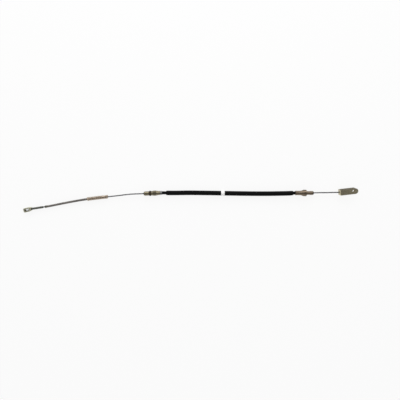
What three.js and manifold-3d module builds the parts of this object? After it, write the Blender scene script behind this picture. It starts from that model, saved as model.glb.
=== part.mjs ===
// A parking brake cable laid out on a flat surface: eye end at -X, clevis end at +X, +Z up.
// Lengths are in millimetres. Stations along the cable are X distances from the tip of the left fitting.
import * as THREE from 'three';
import { mergeVertices } from 'three/addons/utils/BufferGeometryUtils.js';
import Module from 'manifold-3d';

// Clearances between neighbouring pieces
const runningGap = 0.8;
const seatGap = 0.2;
const coverGap = 0.3;

// Inner wire
const wireRadius = 1.5;
const wireSides = 8;
const wireStep = 7;

// Casing: a wound conduit inside a loose protective sheath
const conduitRadius = 3.6;
const conduitWall = 0.9;
const sheathRadius = 5.35;
const sheathWall = 1.3;
const sheathLength = 290.3;
const leftNeckLength = 9.2;
const rightNeckLength = 5.1;
const casingSides = 16;
const casingStep = 15;

// Marker sleeve on the sheath
const markerStart = 125.6;
const markerLength = 8;
const markerWall = 0.3;

// Left fitting: nose, seal groove, barrel with a hexagon, tail and a plain ferrule behind it
const leftNoseRadius = 4.9;
const leftNoseLength = 10.4;
const sealGrooveLength = 5.8;
const sealGrooveDepth = 1;
const sealRadius = 6;
const sealLength = 4.8;
const barrelRadius = 5.25;
const barrelLength = 15.4;
const barrelEdge = 1;
const hexAcrossFlats = 10.4;
const hexLength = 8.8;
const hexStart = 3;
const leftTailRadius = 4.7;
const leftTailLength = 4.6;
const ferruleRadius = 4.45;
const ferruleLength = 4.4;

// Right fitting: crimped tube, coned collar with a flat shoulder, grooved nose
const tubeRadius = 5.15;
const tubeLength = 13;
const coneLength = 6;
const collarRadius = 7.5;
const collarLength = 5.8;
const rightNoseRadius = 4.55;
const noseNeckLength = 2.9;
const clipGrooveLength = 5.4;
const clipGrooveDepth = 0.4;
const noseBeadLength = 7;
const crimpRingDepth = 0.45;
const crimpRingWidth = 1.6;
const crimpRings = 2;
const fittingChamfer = 0.5;

// Wire bushes pressed into both noses
const bushRadius = 3;
const bushLength = 17;
const bushHeadRadius = 3.8;
const bushHeadLength = 1.2;

// Eye end
const eyeLength = 18.5;
const eyeWidth = 9.8;
const eyeDepth = 8.6;
const eyeWall = 2.3;
const eyeWeb = 5.8;
const eyeShoulder = 4.4;
const eyeNeckWidth = 5.4;
const eyeCorner = 2.4;
const eyeEdge = 0.5;
const eyeBend = THREE.MathUtils.degToRad(3);
const shankRadius = 2.45;
const shankLength = 26.4;
const wireInsertion = 19.8;

// Stop collar, wire guard and return spring
const collarStopRadius = 2.8;
const collarStopLength = 5.6;
const bareWireLength = 4.4;
const guardRadius = 2.5;
const springLength = 48.3;
const springWireRadius = 0.75;
const springPitch = 2.4;
const springEndTurns = 1.5;
const springEndPitch = 1.85;
const springStepsPerTurn = 12;
const springWireSides = 6;
const springSeatDepth = 8;
const guardStopRadius = 2.4;
const guardStopLength = 4;

// Exposed wire at each end
const leftWireLength = 82.8;
const rightWireLength = 58.4;

// Clevis: a strap folded to a U, with the wire button behind its base
const clevisLength = 41.4;
const clevisWidth = 12.7;
const clevisStrap = 2.8;
const clevisGap = 9.4;
const clevisFoldRadius = 3.4;
const clevisPinRadius = 4;
const clevisPinReach = 8.9;
const clevisBaseHoleRadius = 2.15;
const clevisBaseCorner = 2;
const clevisYaw = THREE.MathUtils.degToRad(6.7);
const buttonRadius = 3.2;
const buttonLength = 5.6;
const buttonFaceGap = 0.35;

// Round sections
const turnedSides = 24;
const smallSides = 16;

// Sizes that follow from the ones above
const wireBoreRadius = wireRadius + runningGap;
const conduitBoreRadius = conduitRadius - conduitWall;
const conduitSeatRadius = conduitRadius + coverGap;
const bushSeatRadius = bushRadius + coverGap;
const springCoilRadius = guardRadius + coverGap + springWireRadius;
const springRadius = springCoilRadius + springWireRadius;
const noseTip = 0;
const leftCapStart = noseTip + bushHeadLength + seatGap;
const grooveStart = leftCapStart + leftNoseLength;
const barrelStart = grooveStart + sealGrooveLength;
const barrelEnd = barrelStart + barrelLength;
const leftCapEnd = barrelEnd + leftTailLength;
const ferruleStart = leftCapEnd + seatGap;
const ferruleEnd = ferruleStart + ferruleLength;
const sheathStart = ferruleEnd + leftNeckLength;
const sheathEnd = sheathStart + sheathLength;
const rightCapStart = sheathEnd + rightNeckLength;
const coneStart = rightCapStart + tubeLength;
const collarStart = coneStart + coneLength;
const shoulder = collarStart + collarLength;
const clipGrooveStart = shoulder + noseNeckLength;
const noseBeadStart = clipGrooveStart + clipGrooveLength;
const rightCapEnd = noseBeadStart + noseBeadLength;
const rightTip = rightCapEnd + seatGap + bushHeadLength;
const leftBushEnd = leftCapStart + bushLength;
const rightBushStart = rightCapEnd - bushLength;
const leftConduitSeat = leftBushEnd + seatGap;
const rightConduitSeat = rightBushStart - seatGap;
const springEnd = noseTip - leftWireLength;
const springStart = springEnd - springLength;
const clevisBase = rightTip + rightWireLength;
const clevisPivot = clevisBase + clevisStrap / 2;
const buttonStart = clevisBase + clevisStrap + buttonFaceGap;
const buttonEnd = buttonStart + buttonLength;
const wireEnd = buttonEnd - wireRadius;
const collarAxisHeight = collarRadius;
const sealAxisHeight = sealRadius;
const markerAxisHeight = sheathRadius + coverGap + markerWall;

// The route of the wire's axis. The eye's shank lies on the first straight, the left fitting on the second
// and the right one on the third. The wire then runs on to the clevis.
const shankPoint = new THREE.Vector3(-253.5, -35.25, springRadius);
const shankHeading = THREE.MathUtils.degToRad(8.8);
const leftTip = new THREE.Vector3(noseTip, -0.45, sealAxisHeight);
const leftHeading = THREE.MathUtils.degToRad(2.5);
const rightLine = 1.25;
const clevisLine = 2.65;

function onStraight(point, heading, distance) {
  const reach = new THREE.Vector3(Math.cos(heading), Math.sin(heading), 0);
  return point.clone().addScaledVector(reach, distance);
}

function alongShank(distance) {
  return onStraight(shankPoint, shankHeading, distance);
}

const leftRoute = [
  alongShank(0),
  alongShank(wireInsertion),
  alongShank(wireInsertion + bareWireLength + collarStopLength),
  new THREE.Vector3(-211.6, -28.4, springRadius),
  new THREE.Vector3(-193.2, -24.65, springRadius),
  new THREE.Vector3(-170.2, -20.2, springRadius),
  new THREE.Vector3(-147.2, -16.05, springRadius),
  new THREE.Vector3(-124.2, -12.6, springRadius),
  new THREE.Vector3(-101.2, -9.7, springRadius),
  new THREE.Vector3(-82.0, -7.8, springRadius + 0.05),
  new THREE.Vector3(-60.0, -5.4, springRadius + 0.55),
  new THREE.Vector3(-41.0, -2.85, sealAxisHeight - 0.15),
  new THREE.Vector3(-27.0, -1.55, sealAxisHeight),
  new THREE.Vector3(-13.0, -0.95, sealAxisHeight),
  ...[noseTip, barrelStart, leftCapEnd, ferruleEnd].map((x) => onStraight(leftTip, leftHeading, x)),
];

// Places in the casing are shares of the sheath's length.
const casingRoute = [
  [0.03, 1.1, sealAxisHeight],
  [0.09, 1.15, sealAxisHeight],
  [0.18, 1.5, sealAxisHeight],
  [0.3, 1.15, markerAxisHeight],
  [0.46, 0.45, markerAxisHeight],
  [0.58, -0.1, markerAxisHeight + 0.12],
  [0.7, -0.45, markerAxisHeight + 0.5],
  [0.8, -0.4, markerAxisHeight + 0.95],
  [0.89, 0.02, markerAxisHeight + 1.35],
  [0.96, 0.5, collarAxisHeight - 0.08],
].map(([share, y, z]) => new THREE.Vector3(sheathStart + share * sheathLength, y, z));

const rightRoute = [
  [rightCapStart, rightLine],
  [coneStart, rightLine],
  [clipGrooveStart, rightLine],
  [rightTip, 1.65],
  [rightTip + 16, 1.98],
  [rightTip + 33, 2.12],
  [clevisBase - 12, 2.5],
  [clevisBase, clevisLine],
  [wireEnd + seatGap, clevisLine],
].map(([x, y]) => new THREE.Vector3(x, y, collarAxisHeight));

const route = new THREE.CatmullRomCurve3([...leftRoute, ...casingRoute, ...rightRoute], false, 'centripetal');

// The route runs steadily towards +X, so a station gives one point on it.
function routeParameter(x) {
  let low = 0;
  let high = 1;
  for (let round = 0; round < 40; round += 1) {
    const middle = (low + high) / 2;
    if (route.getPoint(middle).x < x) low = middle;
    else high = middle;
  }
  return (low + high) / 2;
}

class RouteStretch extends THREE.Curve {
  constructor(start, end) {
    super();
    this.start = start;
    this.end = end;
  }

  getPoint(t, target = new THREE.Vector3()) {
    return route.getPoint(routeParameter(THREE.MathUtils.lerp(this.start, this.end, t)), target);
  }
}

// A close-ended compression spring wound round the route.
class SpringCurve extends THREE.Curve {
  constructor(start, end) {
    super();
    this.start = start;
    this.endLift = springEndTurns * springEndPitch;
    this.openLength = end - start - 2 * this.endLift;
    this.openTurns = this.openLength / springPitch;
    this.turns = this.openTurns + 2 * springEndTurns;
    this.arcLengthDivisions = Math.ceil(this.turns * 60);
  }

  lift(turn) {
    if (turn < springEndTurns) return turn * springEndPitch;
    const open = turn - springEndTurns;
    if (open < this.openTurns) return this.endLift + open * springPitch;
    return this.endLift + this.openLength + (open - this.openTurns) * springEndPitch;
  }

  getPoint(t, target = new THREE.Vector3()) {
    const turn = t * this.turns;
    const parameter = routeParameter(this.start + this.lift(turn));
    const along = route.getTangent(parameter);
    const across = new THREE.Vector3(0, 0, 1).cross(along).normalize();
    const above = along.clone().cross(across);
    const angle = turn * 2 * Math.PI;
    target.copy(route.getPoint(parameter));
    target.addScaledVector(across, springCoilRadius * Math.cos(angle));
    return target.addScaledVector(above, springCoilRadius * Math.sin(angle));
  }
}

function polygon(radius, sides) {
  const corners = [];
  for (let side = 0; side < sides; side += 1) {
    const angle = ((side + 0.5) / sides) * 2 * Math.PI;
    corners.push(new THREE.Vector2(radius * Math.cos(angle), radius * Math.sin(angle)));
  }
  return corners;
}

function sweep(path, radius, sides, steps, boreRadius = 0) {
  const section = new THREE.Shape(polygon(radius, sides));
  if (boreRadius > 0) section.holes.push(new THREE.Path(polygon(boreRadius, sides).reverse()));
  return new THREE.ExtrudeGeometry(section, { steps, extrudePath: path, curveSegments: 1 });
}

// A ring turned about +X. Both outlines are lists of [station, radius]: the outer one runs towards +X,
// the bore runs back. A bore that ends on the axis closes the piece.
function turned(outer, bore, sides = turnedSides) {
  const profile = [...outer, ...bore, outer[0]].map(([x, radius]) => new THREE.Vector2(radius, x));
  return new THREE.LatheGeometry(profile, sides).rotateZ(-Math.PI / 2);
}

const wasm = await Module();
wasm.setup();

function toSolid(geometry) {
  const bare = geometry.clone();
  bare.deleteAttribute('normal');
  bare.deleteAttribute('uv');
  const merged = mergeVertices(bare, 1e-4);
  return new wasm.Manifold(new wasm.Mesh({
    numProp: 3,
    vertProperties: new Float32Array(merged.attributes.position.array),
    triVerts: new Uint32Array(merged.index.array),
  }));
}

function toGeometry(body) {
  const mesh = body.getMesh();
  const geometry = new THREE.BufferGeometry();
  geometry.setAttribute('position', new THREE.BufferAttribute(mesh.vertProperties, 3));
  geometry.setIndex(new THREE.BufferAttribute(mesh.triVerts, 1));
  geometry.computeVertexNormals();
  return geometry;
}

// Finishes
const finishes = {
  yellowZinc: { color: 0x8c8464, roughness: 0.45, metalness: 0.7 },
  oliveZinc: { color: 0x77705a, roughness: 0.5, metalness: 0.7 },
  springSteel: { color: 0x99876f, roughness: 0.4, metalness: 0.8 },
  wireSteel: { color: 0x8c8c8c, roughness: 0.4, metalness: 0.9 },
  guardGrey: { color: 0x7d7875, roughness: 0.6, metalness: 0.2 },
  ferruleGrey: { color: 0x8a8a8a, roughness: 0.4, metalness: 0.8 },
  blackPlastic: { color: 0x1c1c1f, roughness: 0.55, metalness: 0 },
  blackRubber: { color: 0x17140f, roughness: 0.7, metalness: 0 },
  whitePlastic: { color: 0xf4f4f2, roughness: 0.5, metalness: 0 },
};

const cable = new THREE.Group();

function add(name, geometry, finish, parent = cable) {
  const mesh = new THREE.Mesh(geometry, new THREE.MeshStandardMaterial(finishes[finish]));
  mesh.name = name;
  parent.add(mesh);
  return mesh;
}

// A group whose origin is on the route at a station, with its +X along the route.
function fittingGroup(station) {
  const group = new THREE.Group();
  const parameter = routeParameter(station);
  group.position.copy(route.getPoint(parameter));
  group.quaternion.setFromUnitVectors(new THREE.Vector3(1, 0, 0), route.getTangent(parameter));
  cable.add(group);
  return group;
}

function addCasing() {
  const conduit = new RouteStretch(leftConduitSeat, rightConduitSeat);
  const conduitSteps = Math.round((rightConduitSeat - leftConduitSeat) / casingStep);
  add('casing_conduit', sweep(conduit, conduitRadius, casingSides, conduitSteps, conduitBoreRadius),
    'blackPlastic');
  const sheath = new RouteStretch(sheathStart, sheathEnd);
  const sheathSteps = Math.round(sheathLength / casingStep);
  add('casing_sheath', sweep(sheath, sheathRadius, casingSides, sheathSteps, sheathRadius - sheathWall),
    'blackPlastic');
  const sleeveStart = sheathStart + markerStart;
  const sleeve = new RouteStretch(sleeveStart, sleeveStart + markerLength);
  const sleeveRadius = sheathRadius + coverGap + markerWall;
  add('marker_sleeve', sweep(sleeve, sleeveRadius, casingSides, 2, sheathRadius + coverGap), 'whitePlastic');
}

// The left cap's barrel carries a chamfered hexagon, with two corners level and two flats up and down.
function leftCapGeometry() {
  const hexRadius = hexAcrossFlats / Math.sqrt(3);
  const hexFrom = barrelStart + hexStart;
  const hexTo = hexFrom + hexLength;
  const hexRise = (hexRadius - barrelRadius) * Math.sqrt(3);
  const outer = [
    [leftCapStart, leftNoseRadius - fittingChamfer],
    [leftCapStart + fittingChamfer, leftNoseRadius],
    [grooveStart, leftNoseRadius],
    [grooveStart, leftNoseRadius - sealGrooveDepth],
    [barrelStart, leftNoseRadius - sealGrooveDepth],
    [barrelStart, leftTailRadius],
    [barrelStart + barrelEdge, barrelRadius],
    [hexFrom, barrelRadius],
    [hexFrom + hexRise, hexRadius],
    [hexTo - hexRise, hexRadius],
    [hexTo, barrelRadius],
    [barrelEnd - barrelEdge, barrelRadius],
    [barrelEnd, leftTailRadius],
    [leftCapEnd, leftTailRadius],
  ];
  const bore = [
    [leftCapEnd, conduitSeatRadius],
    [leftConduitSeat - seatGap / 2, conduitSeatRadius],
    [leftConduitSeat - seatGap / 2, bushSeatRadius],
    [leftCapStart, bushSeatRadius],
  ];
  const capLength = leftCapEnd - leftCapStart;
  const around = new THREE.CylinderGeometry(capLength, capLength, hexLength, 12).rotateZ(-Math.PI / 2);
  const hexagon = new THREE.CylinderGeometry(hexRadius, hexRadius, capLength, 6);
  hexagon.rotateZ(-Math.PI / 2).rotateX(Math.PI / 6);
  const flats = toSolid(around).subtract(toSolid(hexagon)).translate([(hexFrom + hexTo) / 2, 0, 0]);
  return toGeometry(toSolid(turned(outer, bore)).subtract(flats));
}

function addLeftFitting() {
  const group = new THREE.Group();
  group.position.copy(leftTip);
  group.rotation.z = leftHeading;
  cable.add(group);
  add('left_end_cap', leftCapGeometry(), 'yellowZinc', group);

  const sealMiddle = grooveStart + sealGrooveLength / 2;
  const sealInner = leftNoseRadius - sealGrooveDepth + coverGap;
  const crown = [0, 30, 60, 90, 120, 150, 180].map((degrees) => {
    const angle = THREE.MathUtils.degToRad(degrees);
    const thickness = sealRadius - sealInner;
    return [
      sealMiddle - (sealLength / 2) * Math.cos(angle),
      sealInner + thickness * (0.35 + 0.65 * Math.sin(angle)),
    ];
  });
  const sealBore = [[sealMiddle + sealLength / 2, sealInner], [sealMiddle - sealLength / 2, sealInner]];
  add('left_seal_ring', turned(crown, sealBore), 'blackRubber', group);

  const ferruleEdge = fittingChamfer / 2;
  const ferrule = [
    [ferruleStart, ferruleRadius],
    [ferruleEnd - ferruleEdge, ferruleRadius],
    [ferruleEnd, ferruleRadius - ferruleEdge],
  ];
  const ferruleBore = [[ferruleEnd, conduitSeatRadius], [ferruleStart, conduitSeatRadius]];
  add('left_conduit_ferrule', turned(ferrule, ferruleBore), 'ferruleGrey', group);

  const bush = [
    [noseTip, bushHeadRadius - fittingChamfer],
    [noseTip + fittingChamfer, bushHeadRadius],
    [noseTip + bushHeadLength, bushHeadRadius],
    [noseTip + bushHeadLength, bushRadius],
    [leftBushEnd, bushRadius],
  ];
  const bushBore = [[leftBushEnd, wireBoreRadius], [noseTip, wireBoreRadius]];
  add('left_wire_bush', turned(bush, bushBore, smallSides), 'blackPlastic', group);
}

// Shallow rings rolled into the tube grip the conduit.
function crimpRingOutline() {
  const outline = [];
  const pitch = tubeLength / (crimpRings + 1);
  for (let ring = 1; ring <= crimpRings; ring += 1) {
    const middle = rightCapStart + ring * pitch;
    outline.push([middle - crimpRingWidth, tubeRadius]);
    outline.push([middle - crimpRingWidth / 2, tubeRadius - crimpRingDepth]);
    outline.push([middle + crimpRingWidth / 2, tubeRadius - crimpRingDepth]);
    outline.push([middle + crimpRingWidth, tubeRadius]);
  }
  return outline;
}

function addRightFitting() {
  const group = new THREE.Group();
  group.position.set(0, rightLine, collarAxisHeight);
  cable.add(group);
  const outer = [
    [rightCapStart, tubeRadius - fittingChamfer],
    [rightCapStart + fittingChamfer, tubeRadius],
    ...crimpRingOutline(),
    [coneStart, tubeRadius],
    [collarStart, collarRadius],
    [shoulder, collarRadius],
    [shoulder, rightNoseRadius],
    [clipGrooveStart, rightNoseRadius],
    [clipGrooveStart, rightNoseRadius - clipGrooveDepth],
    [noseBeadStart, rightNoseRadius - clipGrooveDepth],
    [noseBeadStart + fittingChamfer, rightNoseRadius],
    [rightCapEnd - fittingChamfer, rightNoseRadius],
    [rightCapEnd, rightNoseRadius - fittingChamfer],
  ];
  const bore = [
    [rightCapEnd, bushSeatRadius],
    [rightConduitSeat + seatGap / 2, bushSeatRadius],
    [rightConduitSeat + seatGap / 2, conduitSeatRadius],
    [rightCapStart, conduitSeatRadius],
  ];
  add('right_end_cap', turned(outer, bore), 'oliveZinc', group);

  const bush = [
    [rightBushStart, bushRadius],
    [rightTip - bushHeadLength, bushRadius],
    [rightTip - bushHeadLength, bushHeadRadius],
    [rightTip - fittingChamfer, bushHeadRadius],
    [rightTip, bushHeadRadius - fittingChamfer],
  ];
  const bushBore = [[rightTip, wireBoreRadius], [rightBushStart, wireBoreRadius]];
  add('right_wire_bush', turned(bush, bushBore, smallSides), 'blackPlastic', group);
}

// A closed outline with rounded corners, each given as [x, y, radius].
function roundedOutline(corners, outline) {
  corners.forEach(([x, y, radius], index) => {
    const corner = new THREE.Vector2(x, y);
    const [beforeX, beforeY] = corners.at(index - 1);
    const [afterX, afterY] = corners[(index + 1) % corners.length];
    const before = new THREE.Vector2(beforeX, beforeY).sub(corner).normalize();
    const after = new THREE.Vector2(afterX, afterY).sub(corner).normalize();
    const reach = radius / Math.tan(Math.acos(before.dot(after)) / 2);
    const first = corner.clone().addScaledVector(before, reach);
    const last = corner.clone().addScaledVector(after, reach);
    if (index === 0) outline.moveTo(first.x, first.y);
    else outline.lineTo(first.x, first.y);
    outline.quadraticCurveTo(x, y, last.x, last.y);
  });
  outline.closePath();
  return outline;
}

// The eye is one forging: a long square-ended loop seen from above, bent a little at its neck, and a shank
// swaged on the wire's end.
function eyeGeometry() {
  const half = eyeWidth / 2;
  const shoulder = eyeLength - eyeShoulder;
  const shoulderHalf = half - eyeEdge;
  const halfNeck = eyeNeckWidth / 2;
  const depth = eyeDepth - 2 * eyeEdge;
  const outline = roundedOutline([
    [0, half, eyeCorner],
    [0, -half, eyeCorner],
    [shoulder, -shoulderHalf, eyeCorner],
    [eyeLength, -halfNeck, 2 * eyeEdge],
    [eyeLength, halfNeck, 2 * eyeEdge],
    [shoulder, shoulderHalf, eyeCorner],
  ], new THREE.Shape());
  const slotHalf = half - eyeWall;
  const slotEnd = eyeLength - eyeWeb;
  const slotCorner = eyeCorner / 2;
  outline.holes.push(roundedOutline([
    [eyeWall, -slotHalf, slotCorner],
    [slotEnd, -slotHalf, slotCorner],
    [slotEnd, slotHalf, slotCorner],
    [eyeWall, slotHalf, slotCorner],
  ], new THREE.Path()));
  const loop = new THREE.ExtrudeGeometry(outline, {
    depth,
    curveSegments: 6,
    bevelEnabled: true,
    bevelThickness: eyeEdge,
    bevelSize: eyeEdge,
    bevelOffset: -eyeEdge,
    bevelSegments: 1,
  }).translate(-eyeLength, 0, -depth / 2).rotateZ(eyeBend).translate(eyeLength, 0, 0);
  const shankStart = slotEnd + eyeWall / 2;
  const shankEnd = eyeLength + shankLength;
  const shankLow = shankRadius - fittingChamfer / 2;
  const shank = new THREE.LatheGeometry([
    new THREE.Vector2(0, shankStart),
    new THREE.Vector2(shankRadius, shankStart),
    new THREE.Vector2(shankRadius, shankEnd - fittingChamfer),
    new THREE.Vector2(shankLow, shankEnd),
    new THREE.Vector2(0, shankEnd),
  ], smallSides).rotateZ(-Math.PI / 2);
  const boreRadius = wireRadius + coverGap;
  const boreDepth = wireInsertion + coverGap;
  const bore = new THREE.CylinderGeometry(boreRadius, boreRadius, 2 * boreDepth, smallSides);
  bore.rotateZ(-Math.PI / 2).translate(shankEnd, 0, 0);
  return toGeometry(toSolid(loop).add(toSolid(shank)).subtract(toSolid(bore)));
}

function addEyeEnd() {
  const group = new THREE.Group();
  const tip = alongShank(wireInsertion - shankLength - eyeLength);
  group.position.copy(tip);
  group.rotation.z = shankHeading;
  cable.add(group);
  add('end_eye', eyeGeometry(), 'yellowZinc', group);
}

// A short sleeve swaged on the wire, centred on its group's origin.
function swagedSleeve(radius, length) {
  const half = length / 2;
  const edge = fittingChamfer;
  const outer = [
    [-half, radius - edge],
    [edge - half, radius],
    [half - edge, radius],
    [half, radius - edge],
  ];
  const bore = wireRadius + coverGap;
  return turned(outer, [[half, bore], [-half, bore]], smallSides);
}

function addGuardAndSpring() {
  const heading = Math.cos(shankHeading);
  const stopMiddle = alongShank(wireInsertion + bareWireLength + collarStopLength / 2).x;
  add('stop_collar', swagedSleeve(collarStopRadius, collarStopLength), 'oliveZinc', fittingGroup(stopMiddle));

  const guardStart = stopMiddle + (collarStopLength / 2) * heading + coverGap;
  const guardEnd = springEnd - springSeatDepth;
  const guardSteps = Math.round((guardEnd - guardStart) / wireStep);
  const guard = new RouteStretch(guardStart, guardEnd);
  add('wire_guard', sweep(guard, guardRadius, 12, guardSteps, wireRadius + coverGap), 'guardGrey');

  const ringMiddle = guardEnd + coverGap + guardStopLength / 2;
  add('guard_end_ring', swagedSleeve(guardStopRadius, guardStopLength), 'oliveZinc', fittingGroup(ringMiddle));

  const coil = new SpringCurve(springStart + springWireRadius, springEnd - springWireRadius);
  const coilSteps = Math.round(coil.turns * springStepsPerTurn);
  add('return_spring', sweep(coil, springWireRadius, springWireSides, coilSteps), 'springSteel');
}

function addWire() {
  const wireSteps = Math.round((wireEnd - shankPoint.x) / wireStep / 1.4);
  add('inner_wire', sweep(new RouteStretch(shankPoint.x, wireEnd), wireRadius, wireSides, wireSteps), 'wireSteel');
  const blindBore = wireEnd + seatGap;
  const bore = wireRadius + coverGap;
  const face = 0.8;
  const button = [
    [buttonStart, bore + seatGap],
    [buttonStart + face, buttonRadius - seatGap],
    [buttonStart + 2 * face, buttonRadius],
    [buttonEnd - face, buttonRadius],
    [buttonEnd, buttonRadius - face],
    [buttonEnd, 0],
  ];
  const group = new THREE.Group();
  group.position.set(0, clevisLine, collarAxisHeight);
  cable.add(group);
  add('wire_button', turned(button, [[blindBore, 0], [blindBore, bore], [buttonStart, bore]], smallSides),
    'oliveZinc', group);
}

// The strap is folded to a U, its legs end in half rounds about the pin, and the base is pierced for the wire.
function clevisGeometry() {
  const halfWidth = clevisWidth / 2;
  const halfOuter = clevisGap / 2 + clevisStrap;
  const halfGap = clevisGap / 2;
  const inner = Math.max(clevisFoldRadius - clevisStrap, 0.2);
  const fold = new THREE.Shape();
  fold.moveTo(clevisLength, -halfOuter);
  fold.lineTo(clevisLength, -halfGap);
  fold.absarc(clevisStrap + inner, inner - halfGap, inner, 1.5 * Math.PI, Math.PI, true);
  fold.absarc(clevisStrap + inner, halfGap - inner, inner, Math.PI, Math.PI / 2, true);
  fold.lineTo(clevisLength, halfGap);
  fold.lineTo(clevisLength, halfOuter);
  fold.absarc(clevisFoldRadius, halfOuter - clevisFoldRadius, clevisFoldRadius, Math.PI / 2, Math.PI, false);
  fold.absarc(clevisFoldRadius, clevisFoldRadius - halfOuter, clevisFoldRadius, Math.PI, 1.5 * Math.PI, false);
  const strap = new THREE.ExtrudeGeometry(fold, {
    depth: clevisWidth,
    bevelEnabled: false,
    curveSegments: 5,
  }).translate(0, 0, -halfWidth).rotateX(Math.PI / 2);

  const plan = new THREE.Shape();
  plan.absarc(clevisLength - halfWidth, 0, halfWidth, -Math.PI / 2, Math.PI / 2, false);
  plan.lineTo(clevisBaseCorner, halfWidth);
  plan.absarc(clevisBaseCorner, halfWidth - clevisBaseCorner, clevisBaseCorner, Math.PI / 2, Math.PI, false);
  plan.absarc(clevisBaseCorner, clevisBaseCorner - halfWidth, clevisBaseCorner, Math.PI, 1.5 * Math.PI, false);
  const pinHole = new THREE.Path();
  pinHole.absarc(clevisLength - clevisPinReach, 0, clevisPinRadius, 0, 2 * Math.PI, true);
  plan.holes.push(pinHole);
  const blank = new THREE.ExtrudeGeometry(plan, {
    depth: 4 * halfOuter,
    bevelEnabled: false,
    curveSegments: 10,
  }).translate(0, 0, -2 * halfOuter);

  const pierce = new THREE.CylinderGeometry(
    clevisBaseHoleRadius, clevisBaseHoleRadius, 4 * clevisStrap, smallSides,
  ).rotateZ(-Math.PI / 2);
  return toGeometry(toSolid(strap).intersect(toSolid(blank)).subtract(toSolid(pierce)));
}

// The clevis is free on the wire's button, and lies turned a little off the wire's line.
function addClevis() {
  const group = new THREE.Group();
  group.position.set(clevisPivot, clevisLine, clevisGap / 2 + clevisStrap);
  group.rotation.z = clevisYaw;
  cable.add(group);
  add('clevis', clevisGeometry().translate(-clevisStrap / 2, 0, 0), 'oliveZinc', group);
}

addCasing();
addLeftFitting();
addRightFitting();
addEyeEnd();
addGuardAndSpring();
addWire();
addClevis();

// The origin is under the middle of the cable, on the surface that it lies on.
const extent = new THREE.Box3().setFromObject(cable, true);
const middle = extent.getCenter(new THREE.Vector3());
cable.position.set(-middle.x, -middle.y, -extent.min.z);

export default cable;
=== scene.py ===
"""Looks of a parking brake cable: twisted wire, sheathed casing, plated fittings, spring, eye and clevis."""
import math

import bmesh
import bpy
from mathutils import Matrix, Vector


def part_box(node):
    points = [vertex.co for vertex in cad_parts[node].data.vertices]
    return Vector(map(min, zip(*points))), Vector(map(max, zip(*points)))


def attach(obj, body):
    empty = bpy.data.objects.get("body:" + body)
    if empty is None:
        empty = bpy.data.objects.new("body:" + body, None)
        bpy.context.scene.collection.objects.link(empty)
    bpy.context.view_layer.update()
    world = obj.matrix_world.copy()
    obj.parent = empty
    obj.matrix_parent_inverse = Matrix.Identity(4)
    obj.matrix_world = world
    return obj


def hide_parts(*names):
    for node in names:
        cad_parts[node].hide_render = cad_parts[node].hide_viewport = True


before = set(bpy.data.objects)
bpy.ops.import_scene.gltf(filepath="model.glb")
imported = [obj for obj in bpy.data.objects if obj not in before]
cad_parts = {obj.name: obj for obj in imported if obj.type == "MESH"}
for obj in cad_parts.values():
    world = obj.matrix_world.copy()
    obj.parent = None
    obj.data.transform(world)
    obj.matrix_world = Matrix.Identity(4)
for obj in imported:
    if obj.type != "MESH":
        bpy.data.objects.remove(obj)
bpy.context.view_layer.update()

MM = 0.001
UP = Vector((0, 0, 1))

# Driving sizes, as in the part's source, in metres
RUNNING_GAP = 0.8 * MM
SEAT_GAP = 0.2 * MM
COVER_GAP = 0.3 * MM
WIRE_RADIUS = 1.5 * MM
CONDUIT_RADIUS = 3.6 * MM
CONDUIT_WALL = 0.9 * MM
SHEATH_RADIUS = 5.35 * MM
SHEATH_WALL = 1.3 * MM
SHEATH_LENGTH = 290.3 * MM
LEFT_NECK = 9.2 * MM
RIGHT_NECK = 5.1 * MM
MARKER_START = 125.6 * MM
MARKER_LENGTH = 8 * MM
MARKER_WALL = 0.3 * MM
LEFT_NOSE_RADIUS = 4.9 * MM
LEFT_NOSE_LENGTH = 10.4 * MM
SEAL_GROOVE_LENGTH = 5.8 * MM
SEAL_GROOVE_DEPTH = 1.0 * MM
SEAL_RADIUS = 6 * MM
SEAL_LENGTH = 4.8 * MM
BARREL_RADIUS = 5.25 * MM
BARREL_LENGTH = 15.4 * MM
BARREL_EDGE = 1.0 * MM
HEX_ACROSS_FLATS = 10.4 * MM
HEX_LENGTH = 8.8 * MM
HEX_START = 3 * MM
LEFT_TAIL_RADIUS = 4.7 * MM
LEFT_TAIL_LENGTH = 4.6 * MM
FERRULE_RADIUS = 4.45 * MM
FERRULE_LENGTH = 4.4 * MM
TUBE_RADIUS = 5.15 * MM
TUBE_LENGTH = 13 * MM
CONE_LENGTH = 6 * MM
COLLAR_RADIUS = 7.5 * MM
COLLAR_LENGTH = 5.8 * MM
RIGHT_NOSE_RADIUS = 4.55 * MM
NOSE_NECK = 2.9 * MM
CLIP_GROOVE_LENGTH = 5.4 * MM
CLIP_GROOVE_DEPTH = 0.4 * MM
NOSE_BEAD = 7 * MM
CRIMP_RING_DEPTH = 0.45 * MM
CRIMP_RING_WIDTH = 1.6 * MM
CRIMP_RINGS = 2
CHAMFER = 0.5 * MM
BUSH_RADIUS = 3 * MM
BUSH_LENGTH = 17 * MM
BUSH_HEAD_RADIUS = 3.8 * MM
BUSH_HEAD = 1.2 * MM
EYE_LENGTH = 18.5 * MM
EYE_WIDTH = 9.8 * MM
EYE_DEPTH = 8.6 * MM
EYE_WALL = 2.3 * MM
EYE_WEB = 5.8 * MM
EYE_SHOULDER = 4.4 * MM
EYE_NECK = 5.4 * MM
EYE_CORNER = 2.4 * MM
EYE_EDGE = 0.5 * MM
EYE_BEND = math.radians(3)
SHANK_RADIUS = 2.45 * MM
SHANK_LENGTH = 26.4 * MM
WIRE_INSERTION = 19.8 * MM
STOP_RADIUS = 2.8 * MM
STOP_LENGTH = 5.6 * MM
BARE_WIRE = 4.4 * MM
GUARD_RADIUS = 2.5 * MM
SPRING_LENGTH = 48.3 * MM
SPRING_WIRE_RADIUS = 0.75 * MM
SPRING_PITCH = 2.4 * MM
SPRING_END_TURNS = 1.5
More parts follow.
